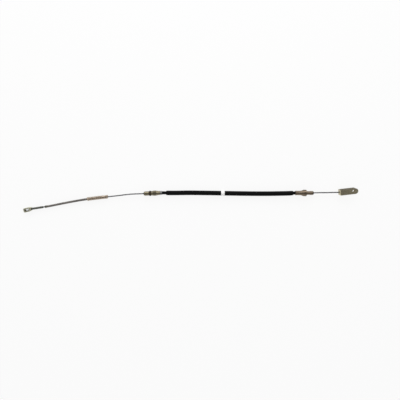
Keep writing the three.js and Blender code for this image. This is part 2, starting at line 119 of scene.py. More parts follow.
SPRING_END_PITCH = 1.85 * MM
SPRING_SEAT_DEPTH = 8 * MM
GUARD_RING_RADIUS = 2.4 * MM
GUARD_RING_LENGTH = 4 * MM
LEFT_WIRE = 82.8 * MM
RIGHT_WIRE = 58.4 * MM
CLEVIS_LENGTH = 41.4 * MM
CLEVIS_WIDTH = 12.7 * MM
CLEVIS_STRAP = 2.8 * MM
CLEVIS_GAP = 9.4 * MM
CLEVIS_FOLD = 3.4 * MM
CLEVIS_PIN_RADIUS = 4 * MM
CLEVIS_PIN_REACH = 8.9 * MM
CLEVIS_BASE_HOLE = 2.15 * MM
CLEVIS_BASE_CORNER = 2 * MM
CLEVIS_YAW = math.radians(6.7)
BUTTON_RADIUS = 3.2 * MM
BUTTON_LENGTH = 5.6 * MM
BUTTON_FACE_GAP = 0.35 * MM

# Stations along the cable, from the tip of the left fitting
LEFT_CAP = BUSH_HEAD + SEAT_GAP
GROOVE = LEFT_CAP + LEFT_NOSE_LENGTH
BARREL = GROOVE + SEAL_GROOVE_LENGTH
BARREL_END = BARREL + BARREL_LENGTH
LEFT_CAP_END = BARREL_END + LEFT_TAIL_LENGTH
FERRULE = LEFT_CAP_END + SEAT_GAP
FERRULE_END = FERRULE + FERRULE_LENGTH
SHEATH = FERRULE_END + LEFT_NECK
SHEATH_END = SHEATH + SHEATH_LENGTH
RIGHT_CAP = SHEATH_END + RIGHT_NECK
CONE = RIGHT_CAP + TUBE_LENGTH
COLLAR = CONE + CONE_LENGTH
SHOULDER = COLLAR + COLLAR_LENGTH
CLIP_GROOVE = SHOULDER + NOSE_NECK
BEAD = CLIP_GROOVE + CLIP_GROOVE_LENGTH
RIGHT_CAP_END = BEAD + NOSE_BEAD
RIGHT_TIP = RIGHT_CAP_END + SEAT_GAP + BUSH_HEAD
LEFT_BUSH_END = LEFT_CAP + BUSH_LENGTH
RIGHT_BUSH = RIGHT_CAP_END - BUSH_LENGTH
LEFT_CONDUIT_SEAT = LEFT_BUSH_END + SEAT_GAP
RIGHT_CONDUIT_SEAT = RIGHT_BUSH - SEAT_GAP
SPRING_END = -LEFT_WIRE
SPRING_START = SPRING_END - SPRING_LENGTH
CLEVIS_BASE = RIGHT_TIP + RIGHT_WIRE
CLEVIS_PIVOT = CLEVIS_BASE + CLEVIS_STRAP / 2
BUTTON = CLEVIS_BASE + CLEVIS_STRAP + BUTTON_FACE_GAP
BUTTON_END = BUTTON + BUTTON_LENGTH
WIRE_END = BUTTON_END - WIRE_RADIUS
WIRE_BORE = WIRE_RADIUS + RUNNING_GAP
CONDUIT_BORE = CONDUIT_RADIUS - CONDUIT_WALL
CONDUIT_SEAT = CONDUIT_RADIUS + COVER_GAP
BUSH_SEAT = BUSH_RADIUS + COVER_GAP
SWAGE_BORE = WIRE_RADIUS + COVER_GAP
COIL_RADIUS = GUARD_RADIUS + COVER_GAP + SPRING_WIRE_RADIUS
SPRING_RADIUS = COIL_RADIUS + SPRING_WIRE_RADIUS
MARKER_HEIGHT = SHEATH_RADIUS + COVER_GAP + MARKER_WALL

# The route's own zero, worked out from where the right cap lies: its end and its axis
RIGHT_LINE = 1.25 * MM
cap_low, cap_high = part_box("right_end_cap")
ORIGIN = Vector((cap_high.x - RIGHT_CAP_END, (cap_low.y + cap_high.y) / 2 - RIGHT_LINE, 0))

# Camera, as in the photograph: looking down, leaning a little to +Y
PHOTO_WIDTH = 0.92
SENSOR = 36.0
CAMERA_DISTANCE = 0.9
CAMERA_LEAN = math.radians(10)
NEAREST_SEEN = 10 * MM
AIM = Vector((0.0242, 0.0004, 0.006))


def add_camera():
    data = bpy.data.cameras.new("camera")
    data.sensor_width = SENSOR
    data.lens = SENSOR * CAMERA_DISTANCE / PHOTO_WIDTH
    data.clip_start = NEAREST_SEEN
    camera = bpy.data.objects.new("camera", data)
    bpy.context.scene.collection.objects.link(camera)
    offset = Vector((0, math.sin(CAMERA_LEAN), math.cos(CAMERA_LEAN))) * CAMERA_DISTANCE
    back = offset.normalized()
    right = Vector((1, 0, 0))
    top = back.cross(right)
    turn = Matrix((right, top, back)).transposed().to_4x4()
    camera.matrix_world = Matrix.Translation(AIM + offset) @ turn
    bpy.context.scene.camera = camera


# The route of the wire's axis, repeated from the part's source
SHANK_POINT = Vector((-253.5 * MM, -35.25 * MM, SPRING_RADIUS))
SHANK_HEADING = math.radians(8.8)
LEFT_TIP = Vector((0, -0.45 * MM, SEAL_RADIUS))
LEFT_HEADING = math.radians(2.5)
CLEVIS_LINE = 2.65 * MM


def on_straight(point, heading, distance):
    return point + Vector((math.cos(heading), math.sin(heading), 0)) * distance


def along_shank(distance):
    return on_straight(SHANK_POINT, SHANK_HEADING, distance)


LEFT_ROUTE = [
    along_shank(0),
    along_shank(WIRE_INSERTION),
    along_shank(WIRE_INSERTION + BARE_WIRE + STOP_LENGTH),
    Vector((-211.6 * MM, -28.4 * MM, SPRING_RADIUS)),
    Vector((-193.2 * MM, -24.65 * MM, SPRING_RADIUS)),
    Vector((-170.2 * MM, -20.2 * MM, SPRING_RADIUS)),
    Vector((-147.2 * MM, -16.05 * MM, SPRING_RADIUS)),
    Vector((-124.2 * MM, -12.6 * MM, SPRING_RADIUS)),
    Vector((-101.2 * MM, -9.7 * MM, SPRING_RADIUS)),
    Vector((-82.0 * MM, -7.8 * MM, SPRING_RADIUS + 0.05 * MM)),
    Vector((-60.0 * MM, -5.4 * MM, SPRING_RADIUS + 0.55 * MM)),
    Vector((-41.0 * MM, -2.85 * MM, SEAL_RADIUS - 0.15 * MM)),
    Vector((-27.0 * MM, -1.55 * MM, SEAL_RADIUS)),
    Vector((-13.0 * MM, -0.95 * MM, SEAL_RADIUS)),
    *[on_straight(LEFT_TIP, LEFT_HEADING, x) for x in (0, BARREL, LEFT_CAP_END, FERRULE_END)],
]
CASING_ROUTE = [
    Vector((SHEATH + share * SHEATH_LENGTH, y * MM, z))
    for share, y, z in [
        (0.03, 1.1, SEAL_RADIUS),
        (0.09, 1.15, SEAL_RADIUS),
        (0.18, 1.5, SEAL_RADIUS),
        (0.3, 1.15, MARKER_HEIGHT),
        (0.46, 0.45, MARKER_HEIGHT),
        (0.58, -0.1, MARKER_HEIGHT + 0.12 * MM),
        (0.7, -0.45, MARKER_HEIGHT + 0.5 * MM),
        (0.8, -0.4, MARKER_HEIGHT + 0.95 * MM),
        (0.89, 0.02, MARKER_HEIGHT + 1.35 * MM),
        (0.96, 0.5, COLLAR_RADIUS - 0.08 * MM),
    ]
]
RIGHT_ROUTE = [
    Vector((x, y, COLLAR_RADIUS))
    for x, y in [
        (RIGHT_CAP, RIGHT_LINE), (CONE, RIGHT_LINE), (CLIP_GROOVE, RIGHT_LINE),
        (RIGHT_TIP, 1.65 * MM), (RIGHT_TIP + 16 * MM, 1.98 * MM), (RIGHT_TIP + 33 * MM, 2.12 * MM),
        (CLEVIS_BASE - 12 * MM, 2.5 * MM), (CLEVIS_BASE, CLEVIS_LINE), (WIRE_END + SEAT_GAP, CLEVIS_LINE),
    ]
]
ROUTE = LEFT_ROUTE + CASING_ROUTE + RIGHT_ROUTE


def hermite(start, end, leave, arrive, t):
    """A point and a tangent on the cubic between two points."""
    a = 2 * start - 2 * end + leave + arrive
    b = -3 * start + 3 * end - 2 * leave - arrive
    return ((a * t + b) * t + leave) * t + start, (3 * a * t + 2 * b) * t + leave


def span(index, t):
    """The route between two of its points, as a centripetal Catmull-Rom curve."""
    p1, p2 = ROUTE[index], ROUTE[index + 1]
    p0 = ROUTE[index - 1] if index > 0 else p1 * 2 - p2
    p3 = ROUTE[index + 2] if index + 2 < len(ROUTE) else p2 * 2 - p1
    d0, d1, d2 = (math.sqrt((b - a).length) for a, b in ((p0, p1), (p1, p2), (p2, p3)))
    leave = ((p1 - p0) / d0 - (p2 - p0) / (d0 + d1) + (p2 - p1) / d1) * d1
    arrive = ((p2 - p1) / d1 - (p3 - p1) / (d1 + d2) + (p3 - p2) / d2) * d1
    return hermite(p1, p2, leave, arrive, t)


HALVINGS = 30


def at(station):
    """The point on the route at a station, with the directions along, across and above it."""
    index = 0
    while index < len(ROUTE) - 2 and ROUTE[index + 1].x < station:
        index += 1
    low, high = 0.0, 1.0
    for _ in range(HALVINGS):
        middle = (low + high) / 2
        if span(index, middle)[0].x < station:
            low = middle
        else:
            high = middle
    point, tangent = span(index, (low + high) / 2)
    along = tangent.normalized()
    across = UP.cross(along).normalized()
    return point + ORIGIN, along, across, along.cross(across)


def link(name, mesh, body, node, slot, look=None):
    """Puts a finished mesh in the scene as the piece that stands for a CAD node. look names its finish, where
    that isn't the one named after the slot."""
    piece = bpy.data.objects.new(name, mesh)
    bpy.context.scene.collection.objects.link(piece)
    mesh.materials.append(finish[look or slot])
    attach(piece, body)
    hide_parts(node)
    return piece


# Round shapes along the route
MERGE_DISTANCE = 0.0001 * MM
CREASE = math.radians(32)
STRAND_CREASE = math.radians(70)
COIL_CREASE = math.radians(60)


def smooth(mesh, sharp=CREASE):
    """Smooth shading with the edges over an angle kept sharp."""
    shaped = bmesh.new()
    shaped.from_mesh(mesh)
    bmesh.ops.remove_doubles(shaped, verts=shaped.verts, dist=MERGE_DISTANCE)
    bmesh.ops.recalc_face_normals(shaped, faces=shaped.faces)
    for face in shaped.faces:
        face.smooth = True
    for edge in shaped.edges:
        edge.smooth = not (len(edge.link_faces) == 2 and edge.calc_face_angle(0) > sharp)
    shaped.to_mesh(mesh)
    shaped.free()
    return mesh


def loft(name, rings, closed=False):
    """A mesh over rings of equally many points: capped at both ends, or closed on itself."""
    count = len(rings[0])
    points = [point for ring in rings for point in ring]
    faces = []
    last = len(rings) if closed else len(rings) - 1
    for ring in range(last):
        here = ring * count
        there = ((ring + 1) % len(rings)) * count
        for side in range(count):
            after = (side + 1) % count
            faces.append((here + side, here + after, there + after, there + side))
    if not closed:
        faces.append(tuple(reversed(range(count))))
        faces.append(tuple(range(last * count, (last + 1) * count)))
    mesh = bpy.data.meshes.new(name)
    mesh.from_pydata(points, [], faces)
    return mesh


# The straight lines of the turned fittings and the button, each a point and a heading
LEFT_STRAIGHT = (LEFT_TIP, LEFT_HEADING)
RIGHT_STRAIGHT = (Vector((0, RIGHT_LINE, COLLAR_RADIUS)), 0)
BUTTON_STRAIGHT = (Vector((0, CLEVIS_LINE, COLLAR_RADIUS)), 0)


def place_at(station, straight):
    """The centre and the directions across and above, on the route or on the straight line given."""
    if straight is None:
        point, _, across, above = at(station)
        return point, across, above
    point, heading = straight
    across = Vector((-math.sin(heading), math.cos(heading), 0))
    return on_straight(point, heading, station) + ORIGIN, across, UP


def coaxial(name, outline, sides=64, step=4 * MM, shape=None, straight=None):
    """A closed ring of revolution, whose outline is a closed list of (station, radius). It follows the route,
    or the straight line that is given. shape changes the radius with the station and the angle."""
    rings = []
    for (x0, r0), (x1, r1) in zip(outline, outline[1:] + outline[:1]):
        parts = max(1, math.ceil(abs(x1 - x0) / step))
        for part in range(parts):
            station = x0 + (x1 - x0) * part / parts
            radius = r0 + (r1 - r0) * part / parts
            centre, across, above = place_at(station, straight)
            ring = []
            for side in range(sides):
                angle = 2 * math.pi * side / sides
                r = radius if shape is None else shape(station, angle, radius)
                ring.append(centre + (across * math.cos(angle) + above * math.sin(angle)) * r)
            rings.append(ring)
    return smooth(loft(name, rings, closed=True))


# Finishes
MOTTLE_DARK_TO = 0.32
MOTTLE_LIGHT_FROM = 0.68
MOTTLE_DETAIL = 5
GRAIN_FINENESS = 6
GRAIN_DETAIL = 3
RELIEF_DEPTH = 0.05 * MM

# How much finer the mottling is along X, Y and Z: rings on a turned piece, streaks on a drawn one
TURNED = (8, 0.4, 0.4)
DRAWN = (0.25, 2, 2)
EVEN = (1, 1, 1)

# Factors that darken single faces of the eye and the clevis: none on bare faces, painted shade in hollows,
# the shank's own darker tone, and painted shade on the clevis's cut edges
BARE_TINT = (1, 1, 1)
HOLLOW_PAINTED_SHADE = (0.22, 0.21, 0.17)
SHANK_TINT = (0.24, 0.25, 0.29)
EDGE_PAINTED_SHADE = (0.3, 0.28, 0.24)


def tone(red, green, blue):
    """A colour given as it looks, in 0 to 255, as a linear colour."""
    linear = []
    for value in (red, green, blue):
        share = value / 255
        linear.append(share / 12.92 if share <= 0.04045 else ((share + 0.055) / 1.055) ** 2.4)
    return (*linear, 1)


def surface(name, dark, light, metallic, rough, scale, stretch, bump, specular=0.5):
    """A procedural finish: a mottled colour, an uneven gloss and a fine relief. rough holds the lowest and
    the highest roughness, scale is the mottling's size and bump is the relief's strength."""
    material = bpy.data.materials.new(name)
    material.use_nodes = True
    nodes = material.node_tree.nodes
    links = material.node_tree.links
    shader = nodes["Principled BSDF"]
    shader.inputs["Metallic"].default_value = metallic
    shader.inputs["Specular IOR Level"].default_value = specular
    place = nodes.new("ShaderNodeTexCoord")
    mapping = nodes.new("ShaderNodeMapping")
    mapping.inputs["Scale"].default_value = stretch
    links.new(place.outputs["Object"], mapping.inputs["Vector"])
    mottle = nodes.new("ShaderNodeTexNoise")
    mottle.inputs["Scale"].default_value = 1 / scale
    mottle.inputs["Detail"].default_value = MOTTLE_DETAIL
    links.new(mapping.outputs["Vector"], mottle.inputs["Vector"])
    ramp = nodes.new("ShaderNodeValToRGB")
    low, high = ramp.color_ramp.elements
    low.position = MOTTLE_DARK_TO
    low.color = dark
    high.position = MOTTLE_LIGHT_FROM
    high.color = light
    links.new(mottle.outputs["Fac"], ramp.inputs["Fac"])
    links.new(ramp.outputs["Color"], shader.inputs["Base Color"])
    gloss = nodes.new("ShaderNodeMapRange")
    gloss.inputs["To Min"].default_value = rough[0]
    gloss.inputs["To Max"].default_value = rough[1]
    links.new(mottle.outputs["Fac"], gloss.inputs["Value"])
    links.new(gloss.outputs["Result"], shader.inputs["Roughness"])
    grain = nodes.new("ShaderNodeTexNoise")
    grain.inputs["Scale"].default_value = GRAIN_FINENESS / scale
    grain.inputs["Detail"].default_value = GRAIN_DETAIL
    links.new(mapping.outputs["Vector"], grain.inputs["Vector"])
    relief = nodes.new("ShaderNodeBump")
    relief.inputs["Strength"].default_value = bump
    relief.inputs["Distance"].default_value = RELIEF_DEPTH
    links.new(grain.outputs["Fac"], relief.inputs["Height"])
    links.new(relief.outputs["Normal"], shader.inputs["Normal"])
    return material


def tinted(material):
    """Lets a mesh darken the colour of the material face by face, through its attribute named shade."""
    nodes = material.node_tree.nodes
    links = material.node_tree.links
    colour = nodes["Principled BSDF"].inputs["Base Color"]
    shade = nodes.new("ShaderNodeAttribute")
    shade.attribute_name = "shade"
    darker = nodes.new("ShaderNodeVectorMath")
    darker.operation = "MULTIPLY"
    links.new(colour.links[0].from_socket, darker.inputs[0])
    links.new(shade.outputs["Color"], darker.inputs[1])
    links.new(darker.outputs["Vector"], colour)
    return material


def paint(mesh, tint):
    """Writes the shade of each face: tint gives a colour for the face's middle and normal."""
    shade = mesh.color_attributes.new("shade", "FLOAT_COLOR", "CORNER")
    for face in mesh.polygons:
        colour = tint(face.center, face.normal)
        for corner in face.loop_indices:
            shade.data[corner].color = (*colour, 1)
    return mesh


finish = {
    "yellow_zinc": surface(
        "yellow_zinc", tone(104, 97, 78), tone(140, 132, 112),
        metallic=0.95, rough=(0.26, 0.4), scale=3 * MM, stretch=TURNED, bump=0.25),
    "eye_zinc": tinted(surface(
        "eye_zinc", tone(178, 177, 152), tone(206, 205, 182),
        metallic=0.9, rough=(0.42, 0.56), scale=3 * MM, stretch=EVEN, bump=0.25)),
    "dark_zinc": surface(
        "dark_zinc", tone(92, 92, 82), tone(122, 122, 112),
        metallic=0.9, rough=(0.32, 0.48), scale=3 * MM, stretch=DRAWN, bump=0.2),
    "olive_zinc": tinted(surface(
        "olive_zinc", tone(168, 159, 132), tone(198, 189, 162),
        metallic=0.95, rough=(0.26, 0.4), scale=3 * MM, stretch=EVEN, bump=0.2)),
    "brown_zinc": surface(
        "brown_zinc", tone(96, 84, 71), tone(128, 115, 100),
        metallic=0.95, rough=(0.26, 0.4), scale=3 * MM, stretch=TURNED, bump=0.2),
    "plain_steel": surface(
        "plain_steel", tone(100, 100, 100), tone(128, 128, 128),
        metallic=1.0, rough=(0.28, 0.42), scale=3 * MM, stretch=TURNED, bump=0.2),
    "wire_steel": surface(
        "wire_steel", tone(98, 98, 100), tone(142, 142, 144),
        metallic=1.0, rough=(0.28, 0.42), scale=2 * MM, stretch=DRAWN, bump=0.3),
    "spring_steel": surface(
        "spring_steel", tone(158, 142, 125), tone(206, 189, 169),
        metallic=0.9, rough=(0.25, 0.4), scale=3 * MM, stretch=EVEN, bump=0.2),
    "guard_grey": surface(
        "guard_grey", tone(92, 87, 83), tone(126, 121, 116),
        metallic=0.35, rough=(0.4, 0.55), scale=4 * MM, stretch=DRAWN, bump=0.25),
    "black_plastic": surface(
        "black_plastic", tone(8, 8, 9), tone(13, 13, 14),
        metallic=0.0, rough=(0.5, 0.62), scale=5 * MM, stretch=DRAWN, bump=0.2, specular=0.06),
    "seal_rubber": surface(
        "seal_rubber", tone(44, 36, 24), tone(62, 53, 38),
        metallic=0.0, rough=(0.55, 0.75), scale=1.5 * MM, stretch=EVEN, bump=0.3, specular=0.12),
    "white_plastic": surface(
        "white_plastic", tone(246, 246, 245), tone(252, 252, 251),
        metallic=0.0, rough=(0.4, 0.55), scale=4 * MM, stretch=EVEN, bump=0.1),
}

# Cords: the twisted inner wire and the sheath of the casing
STRANDS = 6
LAY_LENGTH = 21 * MM
STRAND_SIDES = 7
STRAND_SWEEP = math.radians(232)
WIRE_STEP = 1.5 * MM
SHEATH_STEP = 5 * MM
SHEATH_TAPER = 6 * MM
SHEATH_DRAWN_IN = 0.35 * MM
SHEATH_LIP = 0.7 * MM
LIP_SEGMENTS = 4


def stations(start, end, step):
    count = math.ceil((end - start) / step)
    return [start + (end - start) * index / count for index in range(count + 1)]


def wire_ring(station, travelled):
    """The outline of six strands laid round a core, turned by the lay."""
    point, _, across, above = at(station)
    centre = WIRE_RADIUS * 2 / 3
    strand = WIRE_RADIUS / 3
    start = 2 * math.pi * travelled / LAY_LENGTH
    ring = []
    for lobe in range(STRANDS):
        middle = start + 2 * math.pi * lobe / STRANDS
        for side in range(STRAND_SIDES):
            swing = (side / (STRAND_SIDES - 1) - 0.5) * STRAND_SWEEP
            x = centre * math.cos(middle) + strand * math.cos(middle + swing)
            y = centre * math.sin(middle) + strand * math.sin(middle + swing)
            ring.append(point + across * x + above * y)
    return ring


def add_wire():
    places = stations(SHANK_POINT.x, WIRE_END, WIRE_STEP)
    centres = [at(x)[0] for x in places]
    travelled = [0.0]
    for a, b in zip(centres, centres[1:]):
        travelled.append(travelled[-1] + (b - a).length)
    rings = [wire_ring(x, far) for x, far in zip(places, travelled)]
    mesh = smooth(loft("twisted_wire", rings), STRAND_CREASE)
    return link("twisted_wire", mesh, "inner_cable", "inner_wire", "wire_steel"), centres


def add_sheath():
    """The sheath is drawn in a little over its last millimetres, with rounded lips."""
    bore = SHEATH_RADIUS - SHEATH_WALL

    def drawn_in(station, _, radius):
        if radius <= bore + SHEATH_LIP / 2:
            return radius
        near = min(station - SHEATH, SHEATH_END - station)
        share = max(0.0, 1 - near / SHEATH_TAPER)
        return radius - SHEATH_DRAWN_IN * share * share

    turns = [math.pi / 2 * k / LIP_SEGMENTS for k in range(LIP_SEGMENTS + 1)]
    lip = [(SHEATH_LIP * (1 - math.sin(a)), SHEATH_RADIUS - SHEATH_LIP * (1 - math.cos(a))) for a in turns]
    outline = [(SHEATH + x, r) for x, r in reversed(lip)]
    outline += [(SHEATH_END - x, r) for x, r in lip]
    outline += [(SHEATH_END, bore), (SHEATH, bore)]
    mesh = coaxial("sheath", outline, sides=48, step=3 * MM, shape=drawn_in)
    piece = link("sheath", mesh, "casing", "casing_sheath", "black_plastic")
    return piece, [at(x)[0] for x in stations(SHEATH, SHEATH_END, SHEATH_STEP)]


# Casing and its fittings
FINE_EDGE = 0.15 * MM
SOFT_EDGE = 0.2 * MM
HEX_CHAMFER = math.radians(30)
HEX_CHAMFER_STEPS = 5
SEAL_FLOOR = LEFT_NOSE_RADIUS - SEAL_GROOVE_DEPTH
SEAL_SEGMENTS = 12
CRIMP_RING_STEPS = 8

# Share of an edge's width at which its rounding lies from both faces
ROUNDING = 0.3

# Share of the seal's thickness that its sides have
SEAL_SIDE = 0.35

# How far the rounding of the barrel's ends, the cone's foot and its rim lies along and across the axis
BARREL_ROUND = (0.4 * BARREL_EDGE, 0.3 * BARREL_EDGE)
CONE_FOOT = (0.4 * MM, 0.15 * MM)
CONE_RIM = (0.3 * MM, 0.2 * MM)


def add_conduit():
    outline = [
        (LEFT_CONDUIT_SEAT, CONDUIT_RADIUS), (RIGHT_CONDUIT_SEAT, CONDUIT_RADIUS),
        (RIGHT_CONDUIT_SEAT, CONDUIT_BORE), (LEFT_CONDUIT_SEAT, CONDUIT_BORE),
    ]
    mesh = coaxial("conduit", outline, sides=40, step=5 * MM)
    link("conduit", mesh, "casing", "casing_conduit", "black_plastic")


def add_marker():
    start = SHEATH + MARKER_START
    end = start + MARKER_LENGTH
    edge = MARKER_WALL / 2
    bore = SHEATH_RADIUS + COVER_GAP
    outline = [
        (start, MARKER_HEIGHT - edge), (start + edge, MARKER_HEIGHT),
        (end - edge, MARKER_HEIGHT), (end, MARKER_HEIGHT - edge),
        (end, bore), (start, bore),
    ]
    mesh = coaxial("marker_band", outline, step=2 * MM)
    link("marker_band", mesh, "casing", "marker_sleeve", "white_plastic")


def hexagonal(station, angle, radius):
    """Six flats on the barrel's raised middle, with two corners level."""
    near = abs(station - BARREL - HEX_START - HEX_LENGTH / 2)
    if near > HEX_LENGTH / 2 or radius <= BARREL_RADIUS:
        return radius
    sector = math.radians(60)
    off = angle % sector - sector / 2
    return min(radius, HEX_ACROSS_FLATS / 2 / math.cos(off))


def add_left_cap():
    """A turned cap with a seal groove. Its barrel is rounded at its ends, with a raised hexagon between."""
    hex_start = BARREL + HEX_START
    hex_end = hex_start + HEX_LENGTH
    hex_height = HEX_ACROSS_FLATS / math.sqrt(3) - BARREL_RADIUS
    shares = [step / HEX_CHAMFER_STEPS for step in range(HEX_CHAMFER_STEPS + 1)]
    chamfer = [(hex_height / math.tan(HEX_CHAMFER) * share, BARREL_RADIUS + hex_height * share)
               for share in shares]
    round_in, round_down = BARREL_ROUND
    seat = LEFT_CONDUIT_SEAT - SEAT_GAP / 2
    outline = [
        (LEFT_CAP, LEFT_NOSE_RADIUS - CHAMFER), (LEFT_CAP + CHAMFER, LEFT_NOSE_RADIUS),
        (GROOVE - FINE_EDGE, LEFT_NOSE_RADIUS), (GROOVE, LEFT_NOSE_RADIUS - FINE_EDGE),
        (GROOVE, SEAL_FLOOR), (BARREL, SEAL_FLOOR), (BARREL, LEFT_TAIL_RADIUS),
        (BARREL + round_in, BARREL_RADIUS - round_down), (BARREL + BARREL_EDGE, BARREL_RADIUS),
        *[(hex_start + x, r) for x, r in chamfer],
        *[(hex_end - x, r) for x, r in reversed(chamfer)],
        (BARREL_END - BARREL_EDGE, BARREL_RADIUS), (BARREL_END - round_in, BARREL_RADIUS - round_down),
        (BARREL_END, LEFT_TAIL_RADIUS),
        (LEFT_CAP_END - FINE_EDGE, LEFT_TAIL_RADIUS), (LEFT_CAP_END, LEFT_TAIL_RADIUS - FINE_EDGE),
        (LEFT_CAP_END, CONDUIT_SEAT), (seat, CONDUIT_SEAT), (seat, BUSH_SEAT), (LEFT_CAP, BUSH_SEAT),
    ]
    mesh = coaxial("left_cap", outline, sides=96, step=2 * MM, shape=hexagonal, straight=LEFT_STRAIGHT)
    link("left_cap", mesh, "casing", "left_end_cap", "yellow_zinc")


def add_seal_ring():
    """A rubber ring with a crowned outside."""
    middle = GROOVE + SEAL_GROOVE_LENGTH / 2
    half = SEAL_LENGTH / 2
    inner = SEAL_FLOOR + COVER_GAP
    thick = SEAL_RADIUS - inner
    outline = []
    for step in range(SEAL_SEGMENTS + 1):
        angle = math.pi * step / SEAL_SEGMENTS
        crown = SEAL_SIDE + (1 - SEAL_SIDE) * math.sin(angle)
        outline.append((middle - half * math.cos(angle), inner + thick * crown))
    outline += [(middle + half, inner), (middle - half, inner)]
    mesh = coaxial("seal_ring", outline, sides=72, straight=LEFT_STRAIGHT)
    link("seal_ring", mesh, "casing", "left_seal_ring", "seal_rubber")


def add_ferrule():
    edge = CHAMFER / 2
    outline = [
        (FERRULE, FERRULE_RADIUS - edge / 2), (FERRULE + edge / 2, FERRULE_RADIUS),
        (FERRULE_END - edge, FERRULE_RADIUS), (FERRULE_END, FERRULE_RADIUS - edge),
        (FERRULE_END, CONDUIT_SEAT), (FERRULE, CONDUIT_SEAT),
    ]
    mesh = coaxial("conduit_ferrule", outline, straight=LEFT_STRAIGHT)
    link("conduit_ferrule", mesh, "casing", "left_conduit_ferrule", "plain_steel")


def add_bush(name, node, tip, end, straight):
    """A bush with its rounded head at the tip of a fitting."""
    inward = math.copysign(1, end - tip)
    edge = CHAMFER * ROUNDING
    outline = [
        (tip, BUSH_HEAD_RADIUS - CHAMFER), (tip + inward * edge, BUSH_HEAD_RADIUS - edge),
        (tip + inward * CHAMFER, BUSH_HEAD_RADIUS), (tip + inward * BUSH_HEAD, BUSH_HEAD_RADIUS),
        (tip + inward * BUSH_HEAD, BUSH_RADIUS), (end, BUSH_RADIUS), (end, WIRE_BORE), (tip, WIRE_BORE),
    ]
    link(name, coaxial(name, outline, sides=48, straight=straight), "casing", node, "black_plastic")


def add_right_cap():
    """A tube with sunk crimp rings, a cone up to the collar and a nose with a clip groove, turned in one."""
    ring_pitch = TUBE_LENGTH / (CRIMP_RINGS + 1)
    crimps = []
    for ring in range(1, CRIMP_RINGS + 1):
        middle = RIGHT_CAP + ring * ring_pitch
        for step in range(CRIMP_RING_STEPS + 1):
            share = 2 * step / CRIMP_RING_STEPS - 1
            sink = CRIMP_RING_DEPTH * (0.5 + 0.5 * math.cos(math.pi * share))
            crimps.append((middle + share * CRIMP_RING_WIDTH, TUBE_RADIUS - sink))
    groove_floor = RIGHT_NOSE_RADIUS - CLIP_GROOVE_DEPTH
    seat = RIGHT_CONDUIT_SEAT + SEAT_GAP / 2
    outline = [
        (RIGHT_CAP, TUBE_RADIUS - CHAMFER), (RIGHT_CAP + CHAMFER, TUBE_RADIUS), *crimps,
        (CONE, TUBE_RADIUS), (CONE + CONE_FOOT[0], TUBE_RADIUS + CONE_FOOT[1]),
        (COLLAR - CONE_RIM[0], COLLAR_RADIUS - CONE_RIM[1]), (COLLAR, COLLAR_RADIUS),
        (SHOULDER - SOFT_EDGE, COLLAR_RADIUS), (SHOULDER, COLLAR_RADIUS - SOFT_EDGE),
        (SHOULDER, RIGHT_NOSE_RADIUS), (CLIP_GROOVE - SOFT_EDGE, RIGHT_NOSE_RADIUS),
        (CLIP_GROOVE, RIGHT_NOSE_RADIUS - SOFT_EDGE), (CLIP_GROOVE, groove_floor),
        (BEAD, groove_floor), (BEAD + CHAMFER, RIGHT_NOSE_RADIUS),
        (RIGHT_CAP_END - CHAMFER, RIGHT_NOSE_RADIUS), (RIGHT_CAP_END, RIGHT_NOSE_RADIUS - CHAMFER),
        (RIGHT_CAP_END, BUSH_SEAT), (seat, BUSH_SEAT), (seat, CONDUIT_SEAT), (RIGHT_CAP, CONDUIT_SEAT),
    ]
    mesh = coaxial("right_cap", outline, sides=96, straight=RIGHT_STRAIGHT)
    return link("right_cap", mesh, "casing", "right_end_cap", "olive_zinc", "brown_zinc")


# Shapes cut from plates and bars, for the eye and the clevis


def arc(x, y, radius, first, last, segments):
    """Points on a circle about (x, y), from one angle to another."""
    angles = [first + (last - first) * k / segments for k in range(segments + 1)]
    return [Vector((x + radius * math.cos(a), y + radius * math.sin(a))) for a in angles]


def rounded(corners, segments=8):
    """A closed outline with round corners. corners holds (x, y, radius)."""
    outline = []
    for index, (x, y, radius) in enumerate(corners):
        here = Vector((x, y))
        if radius <= 0:
            outline.append(here)
            continue
        before = Vector(corners[index - 1][:2])
        after = Vector(corners[(index + 1) % len(corners)][:2])
        to_before = (before - here).normalized()
        to_after = (after - here).normalized()
        half = to_before.angle(to_after) / 2
        reach = radius / math.tan(half)
        centre = here + (to_before + to_after).normalized() * (radius / math.sin(half))
        first = here + to_before * reach - centre
        last = here + to_after * reach - centre
        sweep = first.angle_signed(last)
        for step in range(segments + 1):
            turn = -sweep * step / segments
            outline.append(centre + Matrix.Rotation(turn, 2) @ first)
    return outline


def plate(name, outline, depth):
    """A solid of an outline in XY, centred on Z."""
    shaped = bmesh.new()
    low = [shaped.verts.new((p.x, p.y, -depth / 2)) for p in outline]
    bottom = shaped.faces.new(low)
    raised = bmesh.ops.extrude_face_region(shaped, geom=[bottom])
    top = [v for v in raised["geom"] if isinstance(v, bmesh.types.BMVert)]
    bmesh.ops.translate(shaped, verts=top, vec=(0, 0, depth))
    bmesh.ops.recalc_face_normals(shaped, faces=shaped.faces)
    mesh = bpy.data.meshes.new(name)
    shaped.to_mesh(mesh)
    shaped.free()
    return mesh


def rod(name, start, end, radius, sides=48):
    """A round bar along X."""
    circle = arc(0, 0, radius, 0, 2 * math.pi, sides)[:-1]
    rings = [[Vector((x, p.x, p.y)) for p in circle] for x in (start, end)]
    mesh = loft(name, rings)
    shaped = bmesh.new()
    shaped.from_mesh(mesh)
    bmesh.ops.recalc_face_normals(shaped, faces=shaped.faces)
    shaped.to_mesh(mesh)
    shaped.free()
    return mesh


def evaluated(piece):
    """The mesh of a piece with its modifiers applied."""
    bpy.context.view_layer.update()
    return bpy.data.meshes.new_from_object(piece.evaluated_get(bpy.context.evaluated_depsgraph_get()))


